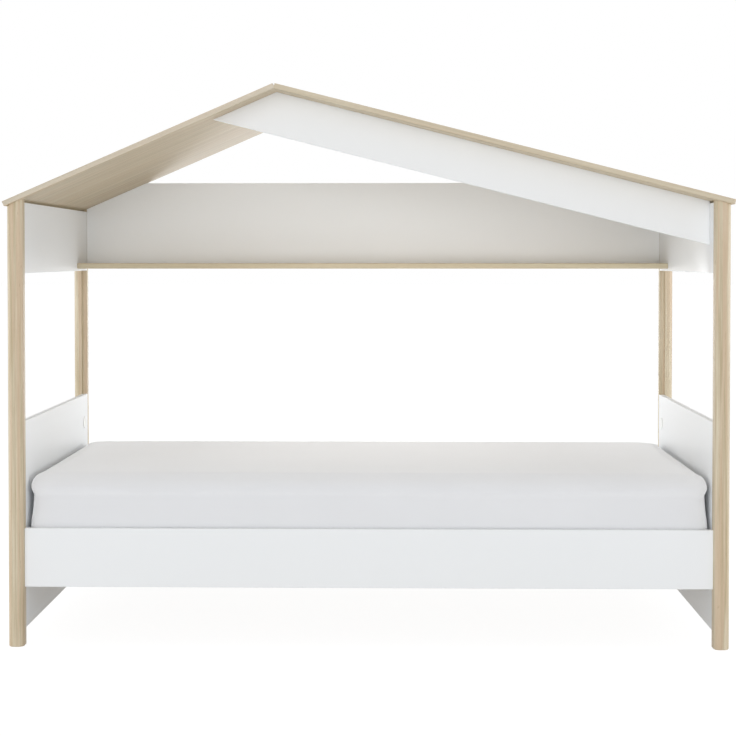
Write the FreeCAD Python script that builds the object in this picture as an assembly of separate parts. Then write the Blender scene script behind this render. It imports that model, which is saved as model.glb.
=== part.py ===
"""A child's house frame bed: four solid wood posts under a lopsided two-slope roof.

Frame: millimetres, +X along the bed to the right, +Y from the open front to the rear,
+Z up. The origin is the middle of the bed's footprint on the floor, roof included.

The posts carry everything. White boards sit between them: side rails, lower and upper
end panels and an upper back panel. The roof boards lie on the sloping post tops.
"""
import FreeCAD, Part
import os
from math import cos, radians, sin, tan
from FreeCAD import Vector

# ---------------------------------------------------------------- driving sizes (mm)
# The mattress is a standard size. The bed is drawn round it.
mattress_length = 2000.0
mattress_width = 900.0
mattress_side = 183.0            # slats to the rounded top edge
mattress_crown = 20.0            # how far the middle of the top stands above that edge
mattress_corner = 45.0           # radius of the corners seen from above
mattress_draw_in = 3.5           # how far the side walls pull in between the two seams
mattress_gap = 9.0               # free space to the boards, all round
mattress_rest_gap = 0.3          # a soft piece stays just clear of the slats

board_thickness = 18.0           # faced particle board
roof_thickness = 15.0
arris = 1.0                      # eased edge of every board

post_cheek = 28.0                # wood of a post outside the end panel
rail_setback = 18.0              # post face to rail face; the posts are rounded this far
rebate_depth = 10.0              # how far an end panel is let into the post
foot_chamfer = 2.0

rail_bottom = 174.0
rail_height = 173.0
end_panel_bottom = 50.0
end_panel_height = 611.0
upper_panel_height = 206.0
upper_panel_clearance = 2.0      # under the roof, at the panel's outer face

ridge_x = -271.0                 # the ridge stands left of the middle of the bed
ridge_height = 1633.5            # floor to the underside at the ridge
left_pitch = 23.4                # degrees
right_pitch = 14.2
ridge_mitre = 6.0                # the boards meet over this height, and part above it
roof_front_overhang = 10.0
roof_eave_overhang = 10.0        # measured at the outermost arris

shelf_rise = 8.0                 # upper end panel's foot to the shelf's underside
shelf_depth = 170.0
back_panel_height = 300.0
fascia_setback = 90.0            # post face to fascia face
fascia_depth = 125.0             # square to the slope

slat_count = 15
slat_width = 70.0
slat_thickness = 18.0
slat_end_gap = 3.0
slat_drop = 42.0                 # top of the rails to the top of the slats
ledger_size = 27.0
ledger_end_gap = 4.0
webbing_width = 20.0
webbing_thickness = 1.2
webbing_inset = 70.0             # slat end to the webbing

bolt_diameter = 6.0
bolt_head_diameter = 10.0
bolt_head_height = 6.0
bolt_head_recess = 8.0           # counterbore depth in the post
bolt_head_room = 1.0             # play round the head
bolt_key = 5.0                   # hexagon socket, across flats
bolt_past_nut = 8.0
bolt_edge = 45.0                 # bolt line to the board's edge
nut_diameter = 10.0
nut_skin = 3.0                   # board left in front of a barrel nut
nut_setback = 32.0               # board end to the barrel nut

dowel_diameter = 8.0
dowel_length = 30.0
dowel_skin = 6.0                 # board left behind a dowel in a panel's face

cam_diameter = 15.0
cam_skin = 5.5                   # board left behind a cam
cam_setback = 34.0               # board end to the cam's centre
cam_edge = 60.0                  # cam line to the panel's edge
cam_bolt_diameter = 6.0
cam_bolt_in_post = 11.0
cam_cap_diameter = 17.0
cam_cap_thickness = 1.2
peg_edge = 50.0                  # dowel line to the panel's edge, on the upper panels
peg_step = 30.0                  # dowel line to the cam line, on the lower panels

screw_diameter = 5.0
screw_head_diameter = 9.0
screw_head_height = 3.0
screw_bite = 30.0                # in the piece that a screw holds
ledger_screw_bite = 11.0
ledger_screw_count = 4

bracket_thickness = 2.0
bracket_width = 40.0
bracket_leg = 45.0
bracket_screw_diameter = 4.0
bracket_screw_head = 8.0
bracket_screw_head_height = 2.5
bracket_screw_bite = 10.0

cup_diameter = 35.0              # bored cup in each lower end panel, closed by a cap
cup_depth = 13.0
cup_below_cam = 36.0
cup_from_end = 54.0
cap_lip = 3.5                    # cap's rim beyond the cup
cap_rim_thickness = 2.0
cap_plug_depth = 9.0

fit = 0.1                        # play round a pin or screw in its hole, per side
pin_sides = 8                    # hidden pins, cams and their holes are drawn with flats
head_sides = 10                  # and so are small heads and caps

# ---------------------------------------------------------------- places worked out
inner_x = mattress_length / 2 + mattress_gap       # inner face of posts and end panels
inner_y = mattress_width / 2 + mattress_gap        # inner face of rails, from the bed's middle
post_width = board_thickness + post_cheek
post_depth = rail_setback + board_thickness + rebate_depth
outer_x = inner_x + post_width
panel_outer_x = inner_x + board_thickness
face_y = inner_y + board_thickness + rail_setback  # outer face of the posts

# The roof reaches past the posts at the front only, which moves the middle of the box.
middle_y = roof_front_overhang / 2
front_y = middle_y - inner_y                       # inner face of the front rail
rear_y = middle_y + inner_y
post_front_y = middle_y - face_y
post_rear_y = middle_y + face_y
roof_front_y = post_front_y - roof_front_overhang
roof_rear_y = rear_y + board_thickness             # in line with the back panel's outer face
fascia_front_y = post_front_y + fascia_setback
fascia_rear_y = fascia_front_y + board_thickness

left_slope = tan(radians(left_pitch))
right_slope = tan(radians(right_pitch))


def roof_underside(x):
    """Height of the roof's underside above the floor at x."""
    if x < ridge_x:
        return ridge_height + left_slope * (x - ridge_x)
    return ridge_height - right_slope * (x - ridge_x)


def upper_panel_top(side):
    return roof_underside(side * panel_outer_x) - upper_panel_clearance


rail_top = rail_bottom + rail_height
slat_plane = rail_top - slat_drop                  # floor to the top of the slats
slat_bottom = slat_plane - slat_thickness
lower_panel_top = end_panel_bottom + end_panel_height
upper_panel_bottom = min(upper_panel_top(-1), upper_panel_top(1)) - upper_panel_height
shelf_underside = upper_panel_bottom + shelf_rise
shelf_front_y = rear_y - shelf_depth
shelf_mid_z = shelf_underside + board_thickness / 2
back_panel_top = shelf_underside + back_panel_height
bolt_reach = nut_setback + bolt_past_nut           # how far a bolt's shank goes into a board

X_AXIS = Vector(1, 0, 0)
Y_AXIS = Vector(0, 1, 0)


# ---------------------------------------------------------------- shared operations
def box(x0, x1, y0, y1, z0, z1):
    return Part.makeBox(x1 - x0, y1 - y0, z1 - z0, Vector(x0, y0, z0))


def cylinder(start, axis, diameter, length):
    return Part.makeCylinder(diameter / 2, length, start, axis)


def ring(centre, axis, diameter, sides):
    """A regular outline round a point, square to the axis."""
    across = (Y_AXIS if abs(axis.x) > 0.5 else X_AXIS).cross(axis).normalize()
    other = axis.cross(across)
    turns = [radians(360 / sides * i) for i in range(sides)]
    corners = [centre + (across * cos(t) + other * sin(t)) * (diameter / 2) for t in turns]
    return Part.makePolygon(corners + corners[:1])


def pin(start, axis, diameter, length, sides=pin_sides):
    """A straight many-sided pin, or the hole for one."""
    return Part.Face(ring(start, axis, diameter, sides)).extrude(axis * length)


def profile_xz(points, y0, y1):
    """A straight-sided outline in the XZ plane, pushed from y0 to y1."""
    corners = [Vector(x, y0, z) for x, z in points]
    face = Part.Face(Part.makePolygon(corners + corners[:1]))
    return face.extrude(Vector(0, y1 - y0, 0))


def space_above_roof_underside(y0, y1):
    """Everything over both slopes' undersides, for cutting boards to the roof."""
    reach = outer_x + 100
    high = ridge_height + 100
    return profile_xz([(-reach, roof_underside(-reach)), (ridge_x, ridge_height),
                       (reach, roof_underside(reach)), (reach, high), (-reach, high)], y0, y1)


def ease(board, shortest=0.0):
    """Takes the sharp arris off a board's edges, or only off those longer than shortest."""
    return board.makeChamfer(arris, [edge for edge in board.Edges if edge.Length > shortest])


def cut_all(shape, tools):
    """Cuts away those of the tools that reach the shape."""
    reaching = [tool for tool in tools if tool.BoundBox.intersect(shape.BoundBox)]
    return shape.cut(Part.makeCompound(reaching)) if reaching else shape


def slope_up(side):
    """Unit vector square to the roof, pointing up: side -1 is the left slope, +1 the right."""
    angle = radians(left_pitch if side < 0 else right_pitch)
    return Vector(side * sin(angle), 0, cos(angle))


def slope_down(side):
    """Unit vector along the roof from the ridge to the eave."""
    up = slope_up(side)
    return Vector(side * up.z, 0, -side * up.x)


def rims(disc, centre):
    """The round edges of a disc that are centred on a point."""
    return [edge for edge in disc.Edges
            if len(edge.Vertexes) == 1 and (edge.CenterOfMass - centre).Length < 0.01]


# ---------------------------------------------------------------- fixings
def bolt_seat(side, end, z):
    """Where a bed bolt's head stands, at the bottom of its counterbore in the post."""
    return Vector(side * (outer_x - bolt_head_recess), middle_y + end * rail_y, z)


def bed_bolt(side, end, z, mouth):
    """Cap-head bolt with a hexagon socket, through a post into a board's barrel nut."""
    seat, inwards = bolt_seat(side, end, z), Vector(-side, 0, 0)
    top = seat - inwards * bolt_head_height
    head = pin(top, inwards, bolt_head_diameter, bolt_head_height, head_sides)
    socket = pin(top, inwards, bolt_key / cos(radians(30)), bolt_head_height / 2, 6)
    shank = pin(seat, inwards, bolt_diameter, post_width - bolt_head_recess + bolt_reach)
    return head.cut(socket).fuse(shank).removeSplitter()


def bolt_holes_in_post(side, end, z, mouth):
    seat, outwards = bolt_seat(side, end, z), Vector(side, 0, 0)
    return [pin(seat, outwards, bolt_head_diameter + 2 * bolt_head_room, bolt_head_recess, head_sides),
            pin(seat, outwards * -1, bolt_diameter + 2 * fit, post_width)]


def nut_mouth(side, end, z, mouth):
    """Where a barrel nut's hole opens: on the front face if mouth is -1, on the rear if it is +1."""
    y = middle_y + end * rail_y + mouth * board_thickness / 2
    return Vector(side * (inner_x - nut_setback), y, z)


def bolt_holes_in_board(side, end, z, mouth):
    board_end = Vector(side * inner_x, middle_y + end * rail_y, z)
    return [pin(board_end, Vector(-side, 0, 0), bolt_diameter + 2 * fit, bolt_reach + fit),
            pin(nut_mouth(side, end, z, mouth), Vector(0, -mouth, 0), nut_diameter + 2 * fit,
                board_thickness - nut_skin + fit, head_sides)]


def barrel_nut(side, end, z, mouth):
    start = nut_mouth(side, end, z, mouth)
    body = pin(start, Vector(0, -mouth, 0), nut_diameter, board_thickness - nut_skin, head_sides)
    bore_start = Vector(start.x - nut_diameter, middle_y + end * rail_y, z)
    return body.cut(pin(bore_start, X_AXIS, bolt_diameter + 2 * fit, 2 * nut_diameter))


def dowel(middle, axis, length, play=0.0):
    """A dowel, or with play the hole for it, in equal parts on both sides of a joint."""
    deep = length + 2 * play
    return pin(middle - axis * (deep / 2), axis, dowel_diameter + 2 * play, deep)


def countersunk(top, axis, length, play=0.0):
    """Countersunk screw, or with play the hole for it. Its flat top lies in the surface."""
    shank_diameter = screw_diameter + 2 * play
    neck = top + axis * screw_head_height
    head = Part.makeLoft([ring(top, axis, screw_head_diameter + 2 * play, head_sides),
                          ring(neck, axis, shank_diameter, head_sides)], True, True)
    shank = pin(neck, axis, shank_diameter, length - screw_head_height + play, head_sides)
    return head.fuse(shank).removeSplitter()


def bracket_screw(surface, axis, play=0.0):
    """Round-head screw through a bracket's plate, or with play the hole for its shank."""
    seat = surface - axis * bracket_thickness
    shank = pin(seat, axis, bracket_screw_diameter + 2 * play,
                bracket_thickness + bracket_screw_bite + play)
    if play:
        return shank
    shoulder = seat - axis * (bracket_screw_head_height / 2)
    crown = seat - axis * bracket_screw_head_height
    head = pin(seat, axis * -1, bracket_screw_head, bracket_screw_head_height / 2, head_sides)
    dome = Part.makeLoft([ring(shoulder, axis, bracket_screw_head, head_sides),
                          ring(crown, axis, bracket_screw_head * 0.7, head_sides)], True, True)
    return head.fuse([dome, shank]).removeSplitter()


# ---------------------------------------------------------------- where the fixings go
# Each joint is listed once. The pieces on both sides of it are drilled from the same list.
rail_y = inner_y + board_thickness / 2             # from the bed's middle
panel_mid_x = inner_x + board_thickness / 2
upper_cam_z = upper_panel_bottom + upper_panel_height / 2
upper_peg_z = [upper_panel_bottom + peg_edge, upper_panel_bottom + upper_panel_height - peg_edge]
back_bolt_z = (upper_peg_z[0] + upper_cam_z) / 2
back_dowel_z = (upper_peg_z[1] + upper_cam_z) / 2
rail_bolt_z = [rail_bottom + bolt_edge, rail_top - bolt_edge]
rail_dowel_z = (rail_bottom + rail_top) / 2
lower_cam_z = [end_panel_bottom + cam_edge, lower_panel_top - cam_edge]
lower_peg_z = [end_panel_bottom + cam_edge - peg_step, lower_panel_top - cam_edge + peg_step]

# (left or right, front or rear, height, face of the board that the nut's hole opens on)
rail_bolts_at = [(side, end, z, -end) for side in (-1, 1) for end in (-1, 1) for z in rail_bolt_z]
back_bolts_at = [(side, 1, back_bolt_z, 1) for side in (-1, 1)]
bolts_at = rail_bolts_at + back_bolts_at

# (left or right, front or rear, height)
cams_at = [(side, end, z) for side in (-1, 1) for end in (-1, 1) for z in lower_cam_z + [upper_cam_z]]

shelf_dowel_length = 2 * (board_thickness - dowel_skin)
side_dowels_at = [(Vector(side * inner_x, middle_y + end * rail_y, rail_dowel_z), X_AXIS, dowel_length)
                  for side in (-1, 1) for end in (-1, 1)]
side_dowels_at += [(Vector(side * inner_x, middle_y + rail_y, back_dowel_z), X_AXIS, dowel_length)
                   for side in (-1, 1)]
end_dowels_at = [(Vector(side * panel_mid_x, middle_y + end * inner_y, z), Y_AXIS, dowel_length)
                 for side in (-1, 1) for end in (-1, 1) for z in lower_peg_z + upper_peg_z]
shelf_dowels_at = [(Vector(side * inner_x, shelf_front_y + shelf_depth * part, shelf_mid_z),
                    X_AXIS, shelf_dowel_length) for side in (-1, 1) for part in (0.25, 0.75)]


def cam_seat(side, end, z):
    """Centre of a cam's mouth on the outer face of an end panel."""
    return Vector(side * panel_outer_x, middle_y + end * (inner_y - cam_setback), z)


def cam_disc(side, end, z):
    seat = cam_seat(side, end, z)
    disc = pin(seat, Vector(-side, 0, 0), cam_diameter, board_thickness - cam_skin)
    slot_start = Vector(side * panel_mid_x, seat.y, z)
    return disc.cut(pin(slot_start, Vector(0, end, 0), cam_bolt_diameter + 2 * fit, cam_diameter))


def cam_bolt(side, end, z, play=0.0):
    """Smooth bolt from the post into the cam's slot, or with play the hole for it."""
    start = Vector(side * panel_mid_x, middle_y + end * (inner_y + cam_bolt_in_post + play), z)
    return pin(start, Vector(0, -end, 0), cam_bolt_diameter + 2 * play,
               cam_bolt_in_post + cam_setback + 2 * play - fit)


def cam_cap(side, end, z):
    """Thin push-on cap over a cam, on the outside of the panel."""
    seat = cam_seat(side, end, z)
    return pin(seat, Vector(side, 0, 0), cam_cap_diameter, cam_cap_thickness, head_sides)


def cam_hole(side, end, z):
    return pin(cam_seat(side, end, z), Vector(-side, 0, 0), cam_diameter + 2 * fit,
               board_thickness - cam_skin + fit)


def roof_screw(x, y):
    """A screw down through the roof board, square to its slope."""
    side = -1 if x < ridge_x else 1
    up = slope_up(side)
    return Vector(x, y, roof_underside(x)) + up * roof_thickness, up * -1, roof_thickness + screw_bite


post_mid_x = inner_x + post_width / 2
back_mid_y = rear_y + board_thickness / 2
fascia_mid_y = (fascia_front_y + fascia_rear_y) / 2
back_left_x = ridge_x - (ridge_height - back_panel_top) / left_slope     # where the top meets the roof
back_right_x = ridge_x + (ridge_height - back_panel_top) / right_slope
post_screws_at = [roof_screw(side * post_mid_x, y)
                  for side in (-1, 1) for y in (post_front_y + post_depth / 2, back_mid_y)]
back_screws_at = [roof_screw((back_left_x - inner_x) / 2, back_mid_y)]
back_screws_at += [roof_screw(back_right_x + (inner_x - back_right_x) * part, back_mid_y)
                   for part in (0.3, 0.75)]
fascia_screws_at = [roof_screw(ridge_x - fascia_depth / 2, fascia_mid_y)]
fascia_screws_at += [roof_screw(ridge_x + (inner_x - ridge_x) * part, fascia_mid_y)
                     for part in (0.12, 0.37, 0.62, 0.87)]
roof_screws_at = post_screws_at + back_screws_at + fascia_screws_at
shelf_screws_at = [(Vector(inner_x * part, roof_rear_y, shelf_mid_z), Vector(0, -1, 0),
                    board_thickness + screw_bite) for part in (-0.8, -0.4, 0.0, 0.4, 0.8)]

ledger_half = inner_x - ledger_end_gap
ledger_pitch = 2 * ledger_half / ledger_screw_count
ledger_screws_at = [(Vector(-ledger_half + ledger_pitch * (i + 0.5),
                            middle_y + end * (inner_y - ledger_size), slat_bottom - ledger_size / 2),
                     Vector(0, end, 0), ledger_size + ledger_screw_bite)
                    for end in (-1, 1) for i in range(ledger_screw_count)]

ridge_bracket_y = [(fascia_rear_y + middle_y) / 2, (middle_y + rear_y) / 2]
ridge_screws_at = [(Vector(ridge_x, y, ridge_height) + slope_down(side) * (bracket_leg * 0.6), slope_up(side))
                   for y in ridge_bracket_y for side in (-1, 1)]
fascia_bracket_mid_z = roof_underside(inner_x) - fascia_depth / 2
fascia_bracket_screws_at = [
    (Vector(inner_x - bracket_leg * 0.6, fascia_rear_y, fascia_bracket_mid_z), Vector(0, -1, 0)),
    (Vector(inner_x, fascia_rear_y + bracket_leg * 0.6, fascia_bracket_mid_z), Vector(1, 0, 0))]


def dowel_holes(places):
    return [dowel(*place, play=fit) for place in places]


def countersunk_holes(places):
    return [countersunk(*place, play=fit) for place in places]


def bracket_holes(places):
    return [bracket_screw(*place, play=fit) for place in places]


def cam_bolt_holes(places):
    return [cam_bolt(*place, play=fit) for place in places]


# ---------------------------------------------------------------- posts
def post(side, end):
    """One corner post: rounded on three corners, rebated on the fourth for the end panel.

    side is -1 at the left end of the bed and +1 at the right, end is -1 at the front
    and +1 at the rear. The outline runs from the inner side outwards (u) and from
    the outer face inwards (v). The top is cut to the slope of the roof.
    """
    r = rail_setback                      # the rounding ends where the rail's face begins
    back = r * (1 - cos(radians(45)))     # how far the middle of a round corner is cut back
    w, d = post_width, post_depth
    floor = d - rebate_depth

    def at(u, v):
        return Vector(side * (inner_x + u), middle_y + end * (face_y - v), 0)

    edges = [
        Part.LineSegment(at(r, 0), at(w - r, 0)),
        Part.Arc(at(w - r, 0), at(w - back, back), at(w, r)),
        Part.LineSegment(at(w, r), at(w, d - r)),
        Part.Arc(at(w, d - r), at(w - back, d - back), at(w - r, d)),
        Part.LineSegment(at(w - r, d), at(board_thickness, d)),
        Part.LineSegment(at(board_thickness, d), at(board_thickness, floor)),
        Part.LineSegment(at(board_thickness, floor), at(0, floor)),
        Part.LineSegment(at(0, floor), at(0, r)),
        Part.Arc(at(0, r), at(back, back), at(r, 0)),
    ]
    outline = Part.Wire([edge.toShape() for edge in edges])
    blank = Part.Face(outline).extrude(Vector(0, 0, ridge_height))
    foot = [edge for edge in blank.Edges if edge.BoundBox.ZMax < 0.01]
    blank = blank.makeChamfer(foot_chamfer, foot)
    blank = blank.cut(space_above_roof_underside(post_front_y - 1, post_rear_y + 1))
    holes = [hole for place in bolts_at if place[:2] == (side, end) for hole in bolt_holes_in_post(*place)]
    holes += dowel_holes(side_dowels_at + end_dowels_at) + cam_bolt_holes(cams_at)
    return cut_all(blank, holes + countersunk_holes(post_screws_at))


# ---------------------------------------------------------------- boards between the posts
def side_rail(end):
    """Long rail, set back behind the post faces; its ends butt on the posts' flat sides."""
    y0, y1 = sorted((middle_y + end * inner_y, middle_y + end * (inner_y + board_thickness)))
    board = ease(box(-inner_x, inner_x, y0, y1, rail_bottom, rail_top))
    holes = [hole for place in rail_bolts_at if place[1] == end for hole in bolt_holes_in_board(*place)]
    return cut_all(board, holes + dowel_holes(side_dowels_at) + countersunk_holes(ledger_screws_at))


def end_board(side, bottom, top):
    """Panel across one end of the bed, let into the rebates of two posts."""
    x0, x1 = sorted((side * inner_x, side * panel_outer_x))
    board = ease(box(x0, x1, front_y, rear_y, bottom, top))
    holes = [cam_hole(*cam) for cam in cams_at] + cam_bolt_holes(cams_at)
    return cut_all(board, holes + dowel_holes(end_dowels_at + shelf_dowels_at))


def lower_end_panel(side):
    cup = cylinder(cup_centre(side), Vector(side, 0, 0), cup_diameter, cup_depth)
    return end_board(side, end_panel_bottom, lower_panel_top).cut(cup)


def upper_end_panel(side):
    board = end_board(side, upper_panel_bottom, upper_panel_top(side))
    return cut_all(board, bracket_holes(fascia_bracket_screws_at))


def back_panel():
    """Upper back panel. Its top corners are cut to the two slopes and carry the roof."""
    blank = box(-inner_x, inner_x, rear_y, roof_rear_y, shelf_underside, back_panel_top)
    board = ease(blank.cut(space_above_roof_underside(rear_y - 1, roof_rear_y + 1)))
    holes = [hole for place in back_bolts_at for hole in bolt_holes_in_board(*place)]
    holes += dowel_holes(side_dowels_at)
    return cut_all(board, holes + countersunk_holes(back_screws_at + shelf_screws_at))


def shelf():
    board = ease(box(-inner_x, inner_x, shelf_front_y, rear_y,
                     shelf_underside, shelf_underside + board_thickness))
    return cut_all(board, dowel_holes(shelf_dowels_at) + countersunk_holes(shelf_screws_at))


def cup_centre(side):
    return Vector(side * inner_x, rear_y - cup_from_end, lower_panel_top - cam_edge - cup_below_cam)


def cup_cap(side):
    """Push-in cap over the cup: a chamfered rim on the panel's face and a plug behind it."""
    centre = cup_centre(side)
    rim_diameter = cup_diameter + 2 * cap_lip
    rim = cylinder(centre, Vector(-side, 0, 0), rim_diameter, cap_rim_thickness)
    front = centre - Vector(side * cap_rim_thickness, 0, 0)
    rim = rim.makeChamfer(cap_rim_thickness / 2, rims(rim, front))
    plug = cylinder(centre, Vector(side, 0, 0), cup_diameter - 2 * fit, cap_plug_depth)
    return rim.fuse(plug).removeSplitter()


# ---------------------------------------------------------------- roof
def roof_panel(side):
    """One slope of the roof, square cut at the eave and mitred low down at the ridge.

    The end at the ridge is square to the board, and plumb only over ridge_mitre, so the
    two boards meet at their lower arrises and leave an open V above.
    """
    up, down = slope_up(side), slope_down(side)
    ridge = Vector(ridge_x, 0, ridge_height)
    mitre_top = ridge + Vector(0, 0, ridge_mitre)
    square_top = mitre_top + up * (roof_thickness - ridge_mitre * up.z)
    eave_top_x = side * (outer_x + roof_eave_overhang)
    eave_low = ridge + down * ((eave_top_x - ridge_x - up.x * roof_thickness) / down.x)
    eave_top = eave_low + up * roof_thickness
    points = [(p.x, p.z) for p in (ridge, mitre_top, square_top, eave_top, eave_low)]
    board = profile_xz(points, roof_front_y, roof_rear_y)
    joint = [edge for edge in board.Edges if edge.BoundBox.XMax - edge.BoundBox.XMin < 0.01
             and abs(edge.BoundBox.XMin - ridge_x) < 0.01]
    eased = [edge for edge in board.Edges if not any(edge.isSame(other) for other in joint)]
    board = board.makeChamfer(arris, eased)
    screws = [place for place in roof_screws_at if side * (place[0].x - ridge_x) > 0]
    return cut_all(board, countersunk_holes(screws) + bracket_holes(ridge_screws_at))


def fascia():
    """Sloping brace under the right slope, from the left slope to the right end panel."""
    drop = fascia_depth / cos(radians(right_pitch))
    low_x = ridge_x - drop / (left_slope + right_slope)      # where its lower edge meets the left slope
    outline = [(low_x, roof_underside(low_x)), (inner_x, roof_underside(inner_x) - drop),
               (inner_x, roof_underside(inner_x)), (ridge_x, ridge_height)]
    board = ease(profile_xz(outline, fascia_front_y, fascia_rear_y))
    return cut_all(board, countersunk_holes(fascia_screws_at) + bracket_holes(fascia_bracket_screws_at))


# ---------------------------------------------------------------- steel brackets
def ridge_bracket(y):
    """Steel strip bent to the ridge, under both roof boards."""
    ridge = Vector(ridge_x, 0, ridge_height)
    left_tip = ridge + slope_down(-1) * bracket_leg
    right_tip = ridge + slope_down(1) * bracket_leg
    left_drop = bracket_thickness / slope_up(-1).z
    right_drop = bracket_thickness / slope_up(1).z
    bend_x = (left_drop - right_drop) / (left_slope + right_slope)
    bend = ridge + Vector(bend_x, 0, left_slope * bend_x - left_drop)
    corners = [left_tip, ridge, right_tip, right_tip - slope_up(1) * bracket_thickness,
               bend, left_tip - slope_up(-1) * bracket_thickness]
    plate = profile_xz([(p.x, p.z) for p in corners], y - bracket_width / 2, y + bracket_width / 2)
    return cut_all(plate, bracket_holes(ridge_screws_at))


def fascia_bracket():
    """Steel angle behind the fascia, in the corner with the right upper end panel."""
    t = bracket_thickness
    z0 = fascia_bracket_mid_z - bracket_width / 2
    z1 = fascia_bracket_mid_z + bracket_width / 2
    legs = box(inner_x - bracket_leg, inner_x, fascia_rear_y, fascia_rear_y + t, z0, z1)
    legs = legs.fuse(box(inner_x - t, inner_x, fascia_rear_y, fascia_rear_y + bracket_leg, z0, z1))
    return cut_all(legs.removeSplitter(), bracket_holes(fascia_bracket_screws_at))


# ---------------------------------------------------------------- slatted base
def ledger(end):
    """Batten along a rail that carries the ends of the slats."""
    y0, y1 = sorted((middle_y + end * inner_y, middle_y + end * (inner_y - ledger_size)))
    strip = ease(box(-ledger_half, ledger_half, y0, y1, slat_bottom - ledger_size, slat_bottom))
    return cut_all(strip, countersunk_holes(ledger_screws_at))


def slats():
    """Equal slats across the bed, resting on the two ledgers."""
    first = -ledger_half + slat_width / 2
    step = (2 * ledger_half - slat_width) / (slat_count - 1)
    y0, y1 = front_y + slat_end_gap, rear_y - slat_end_gap
    return [ease(box(x - slat_width / 2, x + slat_width / 2, y0, y1, slat_bottom, slat_plane), slat_width)
            for x in [first + i * step for i in range(slat_count)]]


def webbing():
    """Two tapes under the slats that keep them at their spacing."""
    middles = [middle_y + end * (inner_y - slat_end_gap - webbing_inset) for end in (-1, 1)]
    return [box(-ledger_half, ledger_half, y - webbing_width / 2, y + webbing_width / 2,
                slat_bottom - webbing_thickness, slat_bottom) for y in middles]


# ---------------------------------------------------------------- mattress
def rounded_rectangle(half_x, half_y, radius, z):
    """Outline with four quarter-round corners, as four lines and four arcs."""
    back = radius * (1 - cos(radians(45)))
    arcs = []
    for sx, sy in ((1, 1), (-1, 1), (-1, -1), (1, -1)):
        on_end = Vector(sx * half_x, middle_y + sy * (half_y - radius), z)
        middle = Vector(sx * (half_x - back), middle_y + sy * (half_y - back), z)
        on_side = Vector(sx * (half_x - radius), middle_y + sy * half_y, z)
        first, last = (on_end, on_side) if sx * sy > 0 else (on_side, on_end)
        arcs.append(Part.Arc(first, middle, last).toShape())
    edges = []
    for arc, following in zip(arcs, arcs[1:] + arcs[:1]):
        gap = Part.LineSegment(arc.valueAt(arc.LastParameter), following.valueAt(following.FirstParameter))
        edges += [arc, gap.toShape()]
    return Part.Wire(edges)


def mattress():
    """Padded mattress: side walls drawn in between two seams, and a crowned top."""
    bottom = slat_plane + mattress_rest_gap
    edge = slat_plane + mattress_side
    # Each section is (height, how far it lies inside the full size).
    sections = [(bottom, 14.0), (bottom + 10, 4.0), (bottom + 26, 0.0),              # lower seam
                (slat_plane + mattress_side * 0.4, mattress_draw_in),                # waist
                (edge - 32, mattress_draw_in), (edge - 20, 0.5), (edge - 8, 6.0),    # upper seam, bulge
                (edge, 17.0), (edge + mattress_crown * 0.25, 36.0),                  # rounded edge
                (edge + mattress_crown * 0.55, 90.0), (edge + mattress_crown * 0.85, 200.0),
                (edge + mattress_crown, 330.0)]                                      # crown
    wires = [rounded_rectangle(mattress_length / 2 - inset, mattress_width / 2 - inset,
                               mattress_corner, z) for z, inset in sections]
    return Part.makeLoft(wires, True, True)


# ---------------------------------------------------------------- the assembly
def screws(places):
    return Part.makeCompound([countersunk(*place) for place in places])


nodes = {}
for side, side_name in ((-1, "left"), (1, "right")):
    for end, end_name in ((-1, "front"), (1, "rear")):
        nodes[f"{end_name}_{side_name}_post"] = post(side, end)
    nodes[f"{side_name}_end_panel"] = lower_end_panel(side)
    nodes[f"upper_{side_name}_end_panel"] = upper_end_panel(side)
    nodes[f"{side_name}_roof_panel"] = roof_panel(side)
for end, end_name in ((-1, "front"), (1, "rear")):
    nodes[f"{end_name}_side_rail"] = side_rail(end)
    nodes[f"{end_name}_slat_ledger"] = ledger(end)
nodes["upper_back_panel"] = back_panel()
nodes["back_shelf"] = shelf()
nodes["roof_fascia"] = fascia()
nodes["slats"] = Part.makeCompound(slats())
nodes["slat_webbing"] = Part.makeCompound(webbing())
nodes["mattress"] = mattress()
nodes["cup_caps"] = Part.makeCompound([cup_cap(side) for side in (-1, 1)])
nodes["bed_bolts"] = Part.makeCompound([bed_bolt(*place) for place in bolts_at])
nodes["barrel_nuts"] = Part.makeCompound([barrel_nut(*place) for place in bolts_at])
nodes["wood_dowels"] = Part.makeCompound(
    [dowel(*place) for place in side_dowels_at + end_dowels_at + shelf_dowels_at])
nodes["cam_discs"] = Part.makeCompound([cam_disc(*cam) for cam in cams_at])
nodes["cam_bolts"] = Part.makeCompound([cam_bolt(*cam) for cam in cams_at])
nodes["cam_caps"] = Part.makeCompound([cam_cap(*cam) for cam in cams_at])
nodes["roof_screws"] = screws(roof_screws_at)
nodes["shelf_screws"] = screws(shelf_screws_at)
nodes["ledger_screws"] = screws(ledger_screws_at)
nodes["ridge_brackets"] = Part.makeCompound([ridge_bracket(y) for y in ridge_bracket_y])
nodes["fascia_bracket"] = fascia_bracket()
nodes["bracket_screws"] = Part.makeCompound(
    [bracket_screw(*place) for place in ridge_screws_at + fascia_bracket_screws_at])

os.makedirs("parts", exist_ok=True)
for name, shape in nodes.items():
    if not shape.isValid():
        raise RuntimeError(f"{name} is not a valid shape")
    shape.exportStep(f"parts/{name}.step")
    extent = shape.BoundBox
    print(f"{name:24s} solids {len(shape.Solids):3d}  volume {shape.Volume / 1e6:8.3f} l  "
          f"x {extent.XMin:8.1f} {extent.XMax:8.1f}  y {extent.YMin:7.1f} {extent.YMax:7.1f}  "
          f"z {extent.ZMin:7.1f} {extent.ZMax:7.1f}")
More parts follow.
